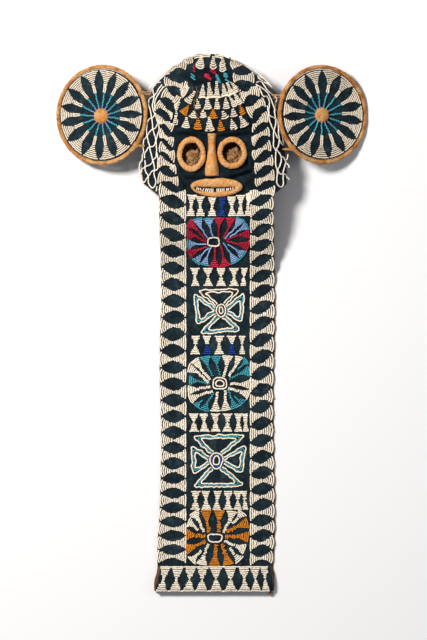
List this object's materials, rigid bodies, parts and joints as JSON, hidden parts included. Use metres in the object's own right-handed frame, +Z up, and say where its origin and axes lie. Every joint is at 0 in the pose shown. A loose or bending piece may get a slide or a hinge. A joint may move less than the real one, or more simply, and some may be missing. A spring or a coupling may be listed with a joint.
{
  "type": "bamileke elephant mask",
  "caption": "Beaded cloth elephant mask: a hollow hood with padded eyes, nose and mouth, round ears and a long patterned trunk panel, lying on its back.",
  "frame": {"origin": "centre of the whole mask's box in plan, on the surface that it lies on", "axes": "+X to the right of the face as it is seen, +Y from the foot of the trunk to the crown, +Z up from the surface, the way the face looks"},
  "size_m": [0.5776, 1.0043, 0.1186],
  "materials": {
    "indigo_cloth": "dark indigo cotton, sewn all over with strings of seed beads",
    "raffia_cloth": "coarse brown raffia weave, frayed",
    "tan_padding": "orange tan cotton over stuffing, matt, slightly soiled",
    "glass_beads": "opaque glass seed beads, satin"
  },
  "bodies": {
    "root": {"hood": "indigo_cloth", "brow_band": "indigo_cloth", "ear_left": "indigo_cloth", "ear_right": "indigo_cloth", "trunk_panel": "indigo_cloth", "hood_lining": "raffia_cloth", "panel_backing": "raffia_cloth", "hem_knob": "raffia_cloth", "eye_ring_left": "tan_padding", "eye_ring_right": "tan_padding", "nose": "tan_padding", "mouth": "tan_padding", "ear_rim_left": "tan_padding", "ear_rim_right": "tan_padding", "ear_boss_left": "tan_padding", "ear_boss_right": "tan_padding", "teeth": "glass_beads", "net_left": "glass_beads", "net_right": "glass_beads"}
  },
  "joints": []
}
